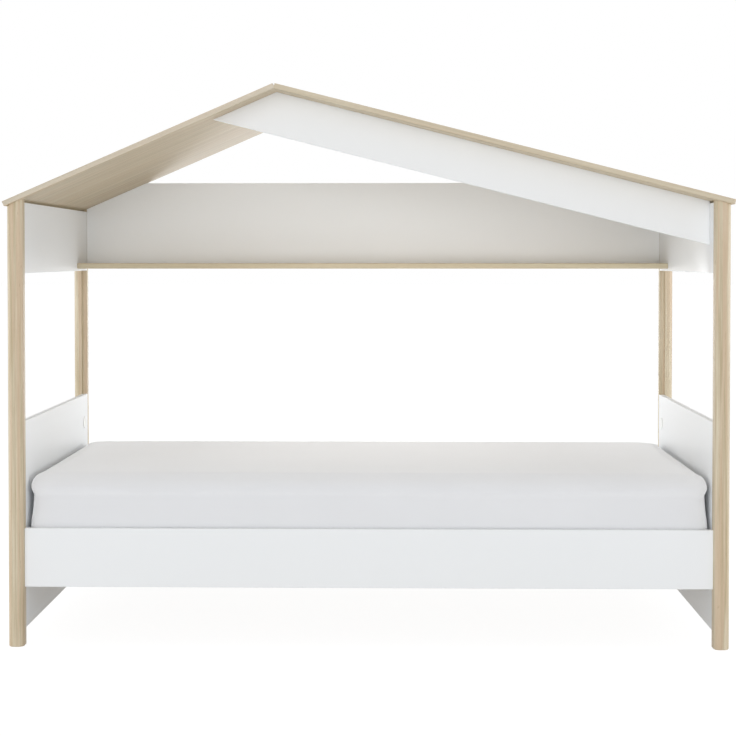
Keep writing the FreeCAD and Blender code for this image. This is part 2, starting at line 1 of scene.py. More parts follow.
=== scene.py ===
import bmesh
import bpy
import numpy as np
from math import atan2, pi, radians
from mathutils import Euler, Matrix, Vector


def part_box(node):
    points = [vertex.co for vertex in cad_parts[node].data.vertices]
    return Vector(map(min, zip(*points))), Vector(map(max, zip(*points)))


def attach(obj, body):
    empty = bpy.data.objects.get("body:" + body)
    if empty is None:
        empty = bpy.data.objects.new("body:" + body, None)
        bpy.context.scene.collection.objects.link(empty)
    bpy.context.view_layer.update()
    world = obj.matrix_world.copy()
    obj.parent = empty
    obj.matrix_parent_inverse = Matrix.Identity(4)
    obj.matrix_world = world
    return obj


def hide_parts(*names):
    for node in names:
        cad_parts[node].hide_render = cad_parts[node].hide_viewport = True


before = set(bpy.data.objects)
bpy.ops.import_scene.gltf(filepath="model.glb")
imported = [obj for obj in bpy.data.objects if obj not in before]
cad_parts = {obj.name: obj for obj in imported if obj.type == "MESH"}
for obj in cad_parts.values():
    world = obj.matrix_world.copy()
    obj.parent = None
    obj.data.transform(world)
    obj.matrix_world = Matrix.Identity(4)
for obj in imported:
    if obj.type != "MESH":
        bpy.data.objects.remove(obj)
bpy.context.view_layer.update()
scene = bpy.context.scene


# ------------------------------------------------------------------ studio
# A plain white floor and a white room, lit softly and evenly as for a catalogue picture. Seen by the
# camera, or in a shiny surface, the room is white. The floor is almost white and keeps a faint shadow.
ROOM_LIGHT = 0.48             # share of full white that the room sends onto the object
FLOOR_SIZE = 120.0            # metres
FLOOR_PAINT = "#F8F8F8"
FLOOR_GLOW = 0.82             # share of the floor's picture that is plain white
GLOW_STRENGTH = 1.13          # a little over 1, so that the unshadowed floor reaches full white


def linear(hex_colour):
    """Linear RGBA of an sRGB colour such as "#D4C7AE"."""
    parts = np.array([int(hex_colour[i:i + 2], 16) for i in (1, 3, 5)]) / 255
    low, high = parts / 12.92, ((parts + 0.055) / 1.055) ** 2.4
    return (*np.where(parts <= 0.04045, low, high).tolist(), 1.0)


def add(tree, kind, settings=None):
    """Adds a shader node. Each setting names, or counts to, an input socket, or names a property of
    the node. It holds a plain value, or the socket or node (its first output) that is linked in."""
    made = tree.nodes.new("ShaderNode" + kind)
    for key, value in (settings or {}).items():
        if isinstance(key, str) and key not in made.inputs:
            setattr(made, key, value)
        elif isinstance(value, bpy.types.Node):
            tree.links.new(value.outputs[0], made.inputs[key])
        elif isinstance(value, bpy.types.NodeSocket):
            tree.links.new(value, made.inputs[key])
        else:
            made.inputs[key].default_value = value
    return made


def seen_directly(tree):
    """1 for rays from the camera and for reflected and refracted ones, 0 for those that light things."""
    path = add(tree, "LightPath")
    shiny = add(tree, "Math", {"operation": "MAXIMUM", 0: path.outputs["Is Glossy Ray"],
                               1: path.outputs["Is Transmission Ray"]})
    return add(tree, "Math", {"operation": "MAXIMUM", 0: path.outputs["Is Camera Ray"], 1: shiny})


room = bpy.data.worlds.new("white_room")
scene.world = room
room.use_nodes = True
room.node_tree.nodes.clear()
lighting = add(room.node_tree, "Background", {"Color": linear("#FFFFFF"), "Strength": ROOM_LIGHT})
backdrop = add(room.node_tree, "Background", {"Color": linear("#FFFFFF"), "Strength": 1.0})
room_mix = add(room.node_tree, "MixShader", {0: seen_directly(room.node_tree), 1: lighting, 2: backdrop})
add(room.node_tree, "OutputWorld", {"Surface": room_mix})

floor_material = bpy.data.materials.new("matt_white_floor_paint")
floor_material.use_nodes = True
floor_tree = floor_material.node_tree
floor_tree.nodes.clear()
floor_paint = add(floor_tree, "BsdfDiffuse", {"Color": linear(FLOOR_PAINT)})
floor_glow = add(floor_tree, "Emission", {"Color": linear("#FFFFFF"), "Strength": GLOW_STRENGTH})
glow_share = add(floor_tree, "Math", {"operation": "MULTIPLY", 0: seen_directly(floor_tree),
                                      1: FLOOR_GLOW})
floor_mix = add(floor_tree, "MixShader", {0: glow_share, 1: floor_paint, 2: floor_glow})
add(floor_tree, "OutputMaterial", {"Surface": floor_mix})

floor_mesh = bpy.data.meshes.new("floor")
half_floor = FLOOR_SIZE / 2
floor_mesh.from_pydata([(-half_floor, -half_floor, 0), (half_floor, -half_floor, 0),
                        (half_floor, half_floor, 0), (-half_floor, half_floor, 0)], [], [(0, 1, 2, 3)])
floor_mesh.materials.append(floor_material)
floor = bpy.data.objects.new("floor", floor_mesh)
scene.collection.objects.link(floor)


def softbox(name, place, aim, size, watts, height=None):
    """A lamp at a place, turned to face the point that it is aimed at: square, or with its own height."""
    light = bpy.data.lights.new(name, "AREA")
    light.shape = "RECTANGLE"
    light.size = size
    light.size_y = height or size
    light.energy = watts
    lamp = bpy.data.objects.new(name, light)
    lamp.location = place
    direction = np.array(aim) - np.array(place)
    level = np.hypot(direction[0], direction[1])
    heading = atan2(direction[1], direction[0])
    lamp.rotation_euler = Euler((atan2(level, -direction[2]), 0, heading - pi / 2))
    lamp.visible_camera = False
    scene.collection.objects.link(lamp)


# Each softbox has its place, its aim, its width and its watts. The weak strip stands behind the fascia,
# for the light that a studio's white floor sends up under the roof.
softbox("front_softbox", (0.0, -14.0, 0.8), (0.0, 0.0, 1.2), 5.5, 470.0)
softbox("front_high_softbox", (0.0, -13.0, 5.2), (0.0, 0.0, 1.0), 5.5, 150.0)
softbox("under_roof_strip", (0.25, -0.36, 1.02), (0.25, 0.46, 1.3), 1.5, 1.1, 0.1)
softbox("front_left_softbox", (-9.0, -10.0, 0.9), (0.5, 0.4, 1.2), 4.5, 165.0)
softbox("left_softbox", (-5.0, 0.0, 0.9), (0.0, 0.0, 0.9), 2.5, 62.0)
softbox("right_softbox", (5.0, 0.0, 0.9), (0.0, 0.0, 0.9), 2.5, 85.0)
softbox("rear_softbox", (0.0, 5.0, 1.0), (0.0, 0.0, 1.2), 3.0, 70.0)
softbox("top_softbox", (0.0, -0.01, 5.0), (0.0, 0.0, 0.8), 4.0, 30.0)

# The camera stands nearly square to the front of the bed at an adult's chest height.
CAMERA_PLACE = (0.0815, -4.9764, 1.1424)
CAMERA_PITCH = -1.2141        # degrees, downwards
CAMERA_TURN = 1.0825          # degrees, to the left
LENS = 75.493                 # mm, for a picture 36 mm wide
PICTURE_WIDTH = 36.0
SHIFT_RIGHT = 0.0024          # shares of the picture's width
SHIFT_DOWN = 0.1054
camera_data = bpy.data.cameras.new("camera")
camera_data.lens = LENS
camera_data.sensor_width = PICTURE_WIDTH
camera_data.shift_x = SHIFT_RIGHT
camera_data.shift_y = -SHIFT_DOWN
camera = bpy.data.objects.new("camera", camera_data)
camera.location = CAMERA_PLACE
camera.rotation_euler = Euler((radians(90 + CAMERA_PITCH), 0, radians(CAMERA_TURN)))
scene.collection.objects.link(camera)
scene.camera = camera
scene.view_settings.view_transform = "Standard"


# ------------------------------------------------------------------ posts
# Four corner posts of softwood, wrapped in a pale oak-look foil that goes round the rounded corners.
# The printed grain runs up the post: fine, slightly wavy streaks in beige, some pinker, some yellower.
MM = 0.001
POST_GRAIN_TILT = 90.0        # degrees from level to the run of the grain
BANDS_SHARE, MEDIUM_SHARE, FINE_SHARE = 0.34, 0.38, 0.28    # of the grain's change from light to dark


def finish(name, settings):
    """A material with one Principled shader. Returns it, its node tree and the shader."""
    made = bpy.data.materials.new(name)
    made.use_nodes = True
    made.node_tree.nodes.clear()
    shader = add(made.node_tree, "BsdfPrincipled", settings)
    add(made.node_tree, "OutputMaterial", {"Surface": shader})
    return made, made.node_tree, shader


def streaks(tree, across_grain, width, length, detail=2.0, wave=0.0):
    """Noise drawn out along X: each streak is about as wide and as long as asked, in metres."""
    scale = (1 / length, 1 / width, 1 / width)
    drawn_out = add(tree, "Mapping", {"Vector": across_grain, "Scale": scale})
    return add(tree, "TexNoise", {"Vector": drawn_out, "Scale": 1.0, "Detail": detail, "Roughness": 0.55,
                                  "Distortion": wave})


def wood_finish(name, tilt, light, dark, warm, roughness, turn=0.0, band=None):
    """Wood with its grain along X, tilted up about Y and turned about Z by degrees.

    Colour: broad bands, then medium and fine streaks, each a share of the way from light to dark,
    then slow drifts towards the warm tone, and scattered dark flecks. Relief: the fine streaks, less the
    open pores. Where a band colour is given, edges that face front, back or an end take half of it.
    """
    made, tree, shader = finish(name, {"Roughness": roughness, "IOR": 1.5})
    place = add(tree, "TexCoord")
    levelled = add(tree, "Mapping", {"Vector": place.outputs["Object"], "vector_type": "TEXTURE",
                                     "Rotation": (0, radians(-tilt), radians(turn))})
    bands = streaks(tree, levelled, 26 * MM, 900 * MM, 3.0, 0.6)
    medium = streaks(tree, levelled, 8 * MM, 350 * MM, 2.0, 0.3)
    fine = streaks(tree, levelled, 2.6 * MM, 120 * MM, 3.0)
    pores = streaks(tree, levelled, 0.9 * MM, 18 * MM, 1.0)
    drift = streaks(tree, levelled, 11 * MM, 600 * MM, 1.0, 0.4)
    flecks = streaks(tree, levelled, 5 * MM, 30 * MM, 1.0)
    mix = add(tree, "Math", {"operation": "MULTIPLY", 0: bands, 1: BANDS_SHARE})
    mix = add(tree, "Math", {"operation": "MULTIPLY_ADD", 0: medium, 1: MEDIUM_SHARE, 2: mix})
    mix = add(tree, "Math", {"operation": "MULTIPLY_ADD", 0: fine, 1: FINE_SHARE, 2: mix})
    share = add(tree, "MapRange", {"Value": mix, "From Min": 0.40, "From Max": 0.60})
    tone = add(tree, "MixRGB", {"Fac": share, "Color1": linear(light), "Color2": linear(dark)})
    warmth = add(tree, "MapRange", {"Value": drift, "From Min": 0.44, "From Max": 0.60, "To Max": 0.6})
    tone = add(tree, "MixRGB", {"Fac": warmth, "Color1": tone, "Color2": linear(warm)})
    open_pores = add(tree, "MapRange", {"Value": pores, "From Min": 0.60, "From Max": 0.72,
                                        "To Max": 0.16})
    specks = add(tree, "MapRange", {"Value": flecks, "From Min": 0.70, "From Max": 0.78, "To Max": 0.35})
    spots = add(tree, "Math", {"operation": "MAXIMUM", 0: open_pores, 1: specks})
    tone = add(tree, "MixRGB", {"Fac": spots, "Color1": tone, "Color2": linear(dark),
                                "blend_type": "MULTIPLY"})
    if band:
        facing = add(tree, "VectorMath", {"operation": "DOT_PRODUCT", 0: place.outputs["Normal"],
                                          1: (-np.sin(radians(tilt)), 0, np.cos(radians(tilt)))})
        off_face = add(tree, "Math", {"operation": "ABSOLUTE", 0: facing.outputs["Value"]})
        edge_share = add(tree, "MapRange", {"Value": off_face, "From Min": 0.4, "From Max": 0.6,
                                            "To Min": 0.55, "To Max": 0.0})
        tone = add(tree, "MixRGB", {"Fac": edge_share, "Color1": tone, "Color2": linear(band)})
    relief = add(tree, "Math", {"operation": "SUBTRACT", 0: fine, 1: spots})
    bump = add(tree, "Bump", {"Height": relief, "Strength": 0.25, "Distance": 0.15 * MM})
    tree.links.new(tone.outputs[0], shader.inputs["Base Color"])
    tree.links.new(bump.outputs[0], shader.inputs["Normal"])
    return made


def dress(node, material):
    """Gives a CAD piece its finish in place of the plain one that it came with."""
    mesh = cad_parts[node].data
    mesh.materials.clear()
    mesh.materials.append(material)


post_foil = wood_finish("oak_look_foil", POST_GRAIN_TILT, "#DED3BB", "#BBAA89", "#D2B89C", 0.48)
for post in ("front_left_post", "front_right_post", "rear_left_post", "rear_right_post"):
    dress(post, post_foil)


# ------------------------------------------------------------------ roof boards and shelf
# Particle board faced with the same oak decor as melamine paper, printed along each slope and along
# the shelf. The front, back and end edges carry a plainer edge band, near the decor's own tones.
LEFT_PITCH = 23.4             # degrees
RIGHT_PITCH = -14.2
DECOR_TONES = ("#D9CEB6", "#BAAA8B", "#D2BC9F")     # light, dark and warm
for board, decor, pitch, edge_band in (
        ("left_roof_panel", "oak_melamine_left_slope", LEFT_PITCH, "#D6CDBE"),
        ("right_roof_panel", "oak_melamine_right_slope", RIGHT_PITCH, "#CFC2AA"),
        ("back_shelf", "oak_melamine_shelf", 0.0, "#C4BA9C")):
    dress(board, wood_finish(decor, pitch, *DECOR_TONES, 0.5, band=edge_band))


# ------------------------------------------------------------------ white boards
# Particle board faced with matt white melamine, its edges banded in the same white. The press plate
# leaves a fine pebbled texture that softens every reflection.
PEBBLE = 1.6 * MM             # the real texture is finer; this is as fine as shows


def board_finish(name, colour):
    """Near-white melamine: a faint drift in tone, and a fine pebbled relief that also varies the gloss."""
    made, tree, shader = finish(name, {"IOR": 1.5})
    place = add(tree, "TexCoord").outputs["Object"]
    cloud = add(tree, "TexNoise", {"Vector": place, "Scale": 2.5, "Detail": 2.0})
    pebble = add(tree, "TexNoise", {"Vector": place, "Scale": 1 / PEBBLE, "Detail": 2.0})
    tone = add(tree, "MixRGB", {"Fac": cloud, "Color1": linear(colour), "Color2": linear("#F4F7F9")})
    matt = add(tree, "MapRange", {"Value": pebble, "From Min": 0.3, "From Max": 0.7,
                                  "To Min": 0.42, "To Max": 0.56})
    bump = add(tree, "Bump", {"Height": pebble, "Strength": 0.12, "Distance": 0.1 * MM})
    tree.links.new(tone.outputs[0], shader.inputs["Base Color"])
    tree.links.new(matt.outputs[0], shader.inputs["Roughness"])
    tree.links.new(bump.outputs[0], shader.inputs["Normal"])
    return made


white_melamine = board_finish("white_melamine", "#F6F8FA")
for board in ("front_side_rail", "rear_side_rail", "left_end_panel", "right_end_panel",
              "upper_left_end_panel", "upper_right_end_panel", "upper_back_panel", "roof_fascia"):
    dress(board, white_melamine)


# ------------------------------------------------------------------ slatted base
# Planed pine battens and slats, unfinished, under the mattress. Two woven polyester tapes are stapled
# below the slats and keep them at their spacing.
PINE_TONES = ("#E6D2A8", "#CFAF7A", "#E0BF8C")      # light, dark and warm
slat_pine = wood_finish("planed_pine_slats", 0.0, *PINE_TONES, 0.6, turn=90.0)
batten_pine = wood_finish("planed_pine_battens", 0.0, *PINE_TONES, 0.6)
dress("slats", slat_pine)
dress("front_slat_ledger", batten_pine)
dress("rear_slat_ledger", batten_pine)

# Polyester tape: off-white and matt, with painted shade that darkens the hollows of its coarse weave.
ONE_WAVE = 0.3142             # a wave texture of this scale repeats once in a metre
TAPE_PITCH = 1.5 * MM         # a real tape's threads lie closer; this is as fine as shows
tape_weave, tape_tree, tape_shader = finish("woven_polyester_tape", {"Roughness": 0.85,
                                                                     "Sheen Weight": 0.2})
tape_place = add(tape_tree, "TexCoord").outputs["Object"]
tape_threads = {"Vector": tape_place, "Scale": ONE_WAVE / TAPE_PITCH}
warp = add(tape_tree, "TexWave", tape_threads | {"bands_direction": "X"})
weft = add(tape_tree, "TexWave", tape_threads | {"bands_direction": "Y"})
tape_height = add(tape_tree, "Math", {"operation": "MULTIPLY", 0: warp.outputs["Fac"],
                                      1: weft.outputs["Fac"]})
# The weave's hollows take the darker tone: painted shade, driven by the same height as the bump.
tape_tone_with_painted_shade = add(tape_tree, "MixRGB", {"Fac": tape_height, "Color1": linear("#C9C6BD"),
                                      "Color2": linear("#E8E6DF")})
tape_bump = add(tape_tree, "Bump", {"Height": tape_height, "Strength": 0.5, "Distance": 0.2 * MM})
tape_tree.links.new(tape_tone_with_painted_shade.outputs[0], tape_shader.inputs["Base Color"])
tape_tree.links.new(tape_bump.outputs[0], tape_shader.inputs["Normal"])
dress("slat_webbing", tape_weave)


# ------------------------------------------------------------------ hidden joinery
# Fluted beech dowels, and cams, cam bolts and barrel nuts of zinc-plated steel, all inside the wood.
dowel_beech = wood_finish("turned_beech_dowels", 0.0, "#E3C79C", "#CDAA7A", "#DDB98C", 0.6)
dress("wood_dowels", dowel_beech)

# Bright zinc plating: a cool grey metal between satin and bright, clouded by its fine crystals.
zinc, zinc_tree, zinc_shader = finish("zinc_plated_steel", {"Metallic": 1.0})
zinc_place = add(zinc_tree, "TexCoord").outputs["Object"]
spangle = add(zinc_tree, "TexNoise", {"Vector": zinc_place, "Scale": 1 / (3 * MM), "Detail": 3.0})
zinc_tone = add(zinc_tree, "MixRGB", {"Fac": spangle, "Color1": linear("#B9BCC0"),
                                      "Color2": linear("#D9DBDD")})
zinc_matt = add(zinc_tree, "MapRange", {"Value": spangle, "From Min": 0.3, "From Max": 0.7,
                                        "To Min": 0.26, "To Max": 0.42})
zinc_tree.links.new(zinc_tone.outputs[0], zinc_shader.inputs["Base Color"])
zinc_tree.links.new(zinc_matt.outputs[0], zinc_shader.inputs["Roughness"])
for fixing in ("barrel_nuts", "cam_discs", "cam_bolts", "ridge_brackets", "fascia_bracket"):
    dress(fixing, zinc)


# ------------------------------------------------------------------ bed bolts and screws
# Zinc-plated steel: cap-head bolts with a hexagon socket in the posts' counterbores, countersunk
# chipboard screws with a cross recess in the roof, shelf and battens, and round-head ones in brackets.
AROUND = 48                   # points round each fixing


def vectors_of(mesh, what="co"):
    """Places ("co") or outward directions ("normal") of a mesh's vertices, one row each."""
    values = np.empty(len(mesh.vertices) * 3)
    mesh.vertices.foreach_get(what, values)
    return values.reshape(-1, 3)


def solids_of(node):
    """Points of each separate solid in a CAD piece, as a list of arrays.

    Corners at one place share a number, and the lowest number spreads over each solid's triangles.
    """
    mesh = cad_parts[node].data
    place, number = np.unique(vectors_of(mesh).round(6), axis=0, return_inverse=True)
    corner = np.empty(len(mesh.loops), int)
    mesh.loops.foreach_get("vertex_index", corner)
    triangle = number.ravel()[corner].reshape(-1, 3)
    mark = np.arange(len(place))
    settled = False
    while not settled:
        before = mark.copy()
        np.minimum.at(mark, triangle, mark[triangle].min(axis=1)[:, None])
        settled = bool((mark == before).all())
    return [place[mark == first] for first in np.unique(mark)]


def outer_end(points, out):
    """Middle of the end face that looks along out, and the solid's length in that direction."""
    along = points @ out
    return points[along > along.max() - 0.02 * MM].mean(axis=0), along.max() - along.min()


def grid_piece(name, grids, material):
    """One piece from equal grids of points, shaped (grids, rows, columns, 3).

    Every cell becomes a four-sided face. Points that meet at seams and poles are merged, which leaves
    triangles at the poles, and all faces are turned outwards.
    """
    count, rows, columns, _ = grids.shape
    index = np.arange(grids[..., 0].size).reshape(count, rows, columns)
    cells = np.stack([index[:, :-1, :-1], index[:, :-1, 1:], index[:, 1:, 1:], index[:, 1:, :-1]], axis=-1)
    mesh = bpy.data.meshes.new(name)
    mesh.from_pydata(grids.reshape(-1, 3).tolist(), [], cells.reshape(-1, 4).tolist())
    work = bmesh.new()
    work.from_mesh(mesh)
    bmesh.ops.remove_doubles(work, verts=work.verts, dist=0.002 * MM)
    bmesh.ops.recalc_face_normals(work, faces=work.faces)
    work.to_mesh(mesh)
    work.free()
    mesh.shade_smooth()
    mesh.materials.append(material)
    piece = bpy.data.objects.new(name, mesh)
    scene.collection.objects.link(piece)
    return piece


def turned(ends, profile):
    """Grids of pieces turned about an axis, one for each (end point, outward direction).

    The profile's rows are (radius, depth), depth measured inwards from the end. A radius is a number,
    or a function of the angle round the axis, as for a socket.
    """
    angle = np.linspace(0, 2 * pi, AROUND + 1)
    radius = np.array([r(angle) if callable(r) else np.full_like(angle, r) for r, _ in profile])
    depth = np.array([d for _, d in profile])[:, None]
    grids = []
    for end, out in ends:
        side = np.cross(out, (0, 1, 0) if abs(out[1]) < 0.9 else (1, 0, 0))
        side = side / np.linalg.norm(side)
        up = np.cross(out, side)
        ring = radius[..., None] * (np.cos(angle)[:, None] * side + np.sin(angle)[:, None] * up)
        grids.append(end + ring - depth[..., None] * out)
    return np.array(grids)


def hexagon(flats):
    """Radius of a hexagon socket by angle: half its width over the cosine to the nearest flat."""
    return lambda angle: flats / 2 / np.cos((angle % (pi / 3)) - pi / 6)


def cross(arm, half_width):
    """Radius of a cross recess by angle: its arm's length, or where the ray leaves the arm's side."""
    def radius(angle):
        slant = np.minimum(np.abs(np.sin(angle)), np.abs(np.cos(angle)))
        return np.minimum(arm, half_width / np.maximum(slant, 1e-3))
    return radius


def fixings(name, node, outward, profile_for, material):
    """Round fixings in place of a CAD group of equal ones. outward gives a solid's outward direction,
    and profile_for the profile that they share, from their length."""
    ends = []
    for points in solids_of(node):
        out = np.array(outward(points), float)
        end, length = outer_end(points, out)
        ends.append((end, out))
    piece = grid_piece(name, turned(ends, profile_for(length)), material)
    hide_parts(node)
    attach(piece, "bed_frame")


def away_from_middle(points):
    """Level, towards the end of the bed that a fixing is at."""
    return (np.sign(points[:, 0].mean()), 0, 0)


def threaded(start, end, radius, pitch=1.6 * MM, depth=0.35 * MM):
    """Profile rows of a shank with its thread drawn as rings, and a short cone at the tip."""
    turns = np.arange(start, end - 2 * pitch, pitch)
    rows = [(radius - depth * k, at + pitch / 2 * k) for at in turns for k in (0, 1)]
    return rows + [(radius / 2, end - 0.3 * MM), (0, end)]


def bolt_profile(length):
    """A cap head 10 mm across and 6 mm high with a 5 mm hexagon socket, its rim rounded and the socket's
    mouth broken, and a 6 mm shank with its thread from 50 mm on."""
    head, head_height, round_off, broken = 5 * MM, 6 * MM, 0.5 * MM, 0.15 * MM
    socket, mouth, socket_depth, drill_point = hexagon(5 * MM), hexagon(5.3 * MM), 3 * MM, 3.4 * MM
    shank, plain = 3 * MM, 50 * MM
    return [(0, drill_point), (socket, socket_depth), (socket, broken), (mouth, 0), (head - round_off, 0),
            (head - broken, broken), (head, round_off), (head, head_height), (shank, head_height),
            (shank, plain)] + threaded(plain, length, shank, 2 * MM)


def countersunk_profile(length):
    """A countersunk head 9 mm across and 3 mm high with a cross recess, and a 5 mm thread from there."""
    head, head_height, flat, shank = 4.5 * MM, 3 * MM, 4.3 * MM, 2.5 * MM
    recess, recess_floor, recess_depth = cross(2.6 * MM, 0.55 * MM), cross(1.0 * MM, 0.3 * MM), 2 * MM
    return [(0, 2.2 * MM), (recess_floor, recess_depth), (recess, 0.05 * MM), (recess, 0), (flat, 0),
            (head, 0.15 * MM), (head, 0.4 * MM), (shank, head_height)
            ] + threaded(head_height, length, shank)


def round_head_profile(length):
    """A low round head 8 mm across and 2.5 mm high with a cross recess, and a 4 mm thread below it."""
    head, head_height, shank = 4 * MM, 2.5 * MM, 2 * MM
    recess, recess_floor, recess_depth = cross(2.2 * MM, 0.5 * MM), cross(0.8 * MM, 0.3 * MM), 1.6 * MM
    return [(0, 1.8 * MM), (recess_floor, recess_depth), (recess, 0.1 * MM), (recess, 0),
            (2.6 * MM, 0.02 * MM), (3.5 * MM, 0.4 * MM), (3.9 * MM, 1.2 * MM), (head, 2 * MM),
            (head, head_height), (shank, head_height)] + threaded(2.6 * MM, length, shank, 1.4 * MM)


def up_from_roof(points):
    """Square to the slope that a roof screw is in."""
    ridge_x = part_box("left_roof_panel")[1].x
    tilt = radians(LEFT_PITCH if points[:, 0].mean() < ridge_x else RIGHT_PITCH)
    return (-np.sin(tilt), 0, np.cos(tilt))


def down_from_roof(points):
    """Down, square to the slope, for the ridge screws, and back or inwards for the fascia's."""
    if points[:, 2].mean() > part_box("fascia_bracket")[1].z:
        return tuple(-np.array(up_from_roof(points)))
    return (0, 1, 0) if np.ptp(points[:, 1]) > np.ptp(points[:, 0]) else (-1, 0, 0)


def to_the_back(points):
    """Level, out of the back panel's rear face."""
    return (0, 1, 0)


def into_the_bed(points):
    """Level, from the batten towards the bed's middle."""
    return (0, -np.sign(points[:, 1].mean()), 0)


for name, node, outward, profile_for in (
        ("socket_head_bolts", "bed_bolts", away_from_middle, bolt_profile),
        ("roof_countersunk_screws", "roof_screws", up_from_roof, countersunk_profile),
        ("shelf_countersunk_screws", "shelf_screws", to_the_back, countersunk_profile),
        ("batten_countersunk_screws", "ledger_screws", into_the_bed, countersunk_profile),
        ("bracket_round_screws", "bracket_screws", down_from_roof, round_head_profile)):
    fixings(name, node, outward, profile_for, zinc)


# ------------------------------------------------------------------ caps
# Push-in caps of white polypropylene: small ones over the cams outside, and one wide one in the
# bored cup on the inner face of each lower end panel. Moulded, so satin, and slightly milky.
cap_plastic, cap_tree, cap_shader = finish("white_polypropylene", {"Roughness": 0.38, "IOR": 1.49,
                                                                   "Subsurface Weight": 0.05})
cap_place = add(cap_tree, "TexCoord").outputs["Object"]
cap_grain = add(cap_tree, "TexNoise", {"Vector": cap_place, "Scale": 1 / (1.2 * MM), "Detail": 1.0})
cap_tone = add(cap_tree, "MixRGB", {"Fac": cap_grain, "Color1": linear("#ECEDEB"),
                                    "Color2": linear("#F1F2F0")})
cap_bump = add(cap_tree, "Bump", {"Height": cap_grain, "Strength": 0.1, "Distance": 0.05 * MM})
cap_tree.links.new(cap_tone.outputs[0], cap_shader.inputs["Base Color"])
cap_tree.links.new(cap_bump.outputs[0], cap_shader.inputs["Normal"])


def cap_profile(radius, thickness, sink, behind):
    """Profile of a cap: a sunk middle, a quarter-round rim, and the rows of what is behind it."""
    dish, dish_edge = 0.62 * radius, 0.72 * radius
    turn = np.linspace(0, pi / 2, 6)
    rim = [(radius - thickness * (1 - np.sin(t)), thickness * (1 - np.cos(t))) for t in turn]
    return [(0, sink), (dish, sink), (dish_edge, 0)] + rim + behind


def cam_cap_profile(length):
    """A flat cap 17 mm across, over the cam's bore."""
    return cap_profile(8.5 * MM, length, 0.25 * MM, [(6.8 * MM, length), (0, length)])


def cup_cap_profile(length):
    """A cap 42 mm across and 2 mm thick, with a plug 34.8 mm across that goes into the cup."""
    plug, thickness = 17.4 * MM, 2 * MM
    return cap_profile(21 * MM, thickness, 0.6 * MM, [(plug, thickness), (plug, length), (0, length)])


def to_the_middle(points):
    """Level, from an end panel towards the middle of the bed."""
    return -np.array(away_from_middle(points))


fixings("round_cam_caps", "cam_caps", away_from_middle, cam_cap_profile, cap_plastic)
fixings("round_cup_caps", "cup_caps", to_the_middle, cup_cap_profile, cap_plastic)


# ------------------------------------------------------------------ mattress
# A foam mattress in a white cotton fitted sheet, 90 x 200 cm. The sheet is stretched over a rounded
# shoulder, and a soft crease runs below it where the cover is sewn. Its corners are seamed downwards.
MATTRESS_CORNER = 30 * MM     # radius of a corner seen from above
MATTRESS_CROWN = 8 * MM
CROWN_RUN = 0.313             # metres from the top's edge to where the crown is full
CROWN_FULLNESS = 0.65         # 1 is an even slope at the edge, and less a steeper one
EDGE_BELOW_TOP = 7.5 * MM     # from the highest point of the plain mattress down to the edge of its top
END_BULGE = 5.5 * MM          # the ends press out towards the end panels
END_ROUNDING = 0.25           # how much of the sides' inset the ends have
CREASE_HEIGHT = 443 * MM      # above the floor
CREASE_DEPTH = 8 * MM
CREASE_HALF_HEIGHT = 8 * MM
CREASE_PLACE = 0.32           # metres to the left of the middle, where the crease is deepest
CREASE_HALF_LENGTH = 0.30     # of its deep part
CREASE_ELSEWHERE = 0.2        # share of the depth that is left far from there
CLOTH_STEP = 17 * MM          # size of the sheet's cells
CORNER_CELLS = 4              # from the straight part to the middle of a corner
SHEET_SWELL = 5 * MM          # most that the sheet may move while it is simulated
FILLING_PRESSURE = 0.32       # for cells of 17 mm, about as 4 would be for cells of 5 mm
FILLING_FRAMES = 20

mattress_low, mattress_high = (np.array(corner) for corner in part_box("mattress"))
half_length, half_width = (mattress_high - mattress_low)[:2] / 2 - SHEET_SWELL
mattress_middle = ((mattress_low + mattress_high) / 2)[:2]
bottom = mattress_low[2]
edge = mattress_high[2] - EDGE_BELOW_TOP - SHEET_SWELL

# Height of each row of the side, and how far it lies inside the full size: a tucked lower edge, a wall
# that presses out against the rail and draws in above it, and over the crease a lip and the shoulder.
SIDE = np.array([(bottom, 9 * MM), (bottom + 4 * MM, 3 * MM), (bottom + 12 * MM, -1.5 * MM),
                 (bottom + 26 * MM, -6.5 * MM), (bottom + 44 * MM, -7.5 * MM),
                 (bottom + 60 * MM, -4.5 * MM), (edge - 115 * MM, 1 * MM), (edge - 95 * MM, 4 * MM),
                 (edge - 76 * MM, 6 * MM), (edge - 63 * MM, 6.5 * MM), (edge - 54 * MM, 4 * MM),
                 (edge - 46 * MM, -3 * MM), (edge - 38.5 * MM, -7 * MM), (edge - 31.5 * MM, -7.7 * MM),
                 (edge - 24.5 * MM, -4.2 * MM), (edge - 17.5 * MM, 1.3 * MM), (edge - 10.5 * MM, 9.8 * MM),
                 (edge - 5.5 * MM, 18.8 * MM), (edge - 2 * MM, 28.8 * MM), (edge, 38.8 * MM)])


def smooth_rows(points, step):
    """A smooth curve through points, in about equal steps: each span is the Catmull-Rom cubic of its two
    points and their neighbours, and at both ends the run is carried on straight by one point."""
    carried_on = np.vstack([2 * points[0] - points[1], points, 2 * points[-1] - points[-2]])
    spans = []
    for i in range(1, len(points)):
        p0, p1, p2, p3 = carried_on[i - 1:i + 3]
        cells = max(1, round(float(np.linalg.norm(p2 - p1)) / step))
        t = (np.arange(cells) / cells)[:, None]
        spans.append(0.5 * (2 * p1 + (p2 - p0) * t + (2 * p0 - 5 * p1 + 4 * p2 - p3) * t ** 2
                            + (3 * p1 - p0 - 3 * p2 + p3) * t ** 3))
    return np.vstack(spans + [points[-1:]])


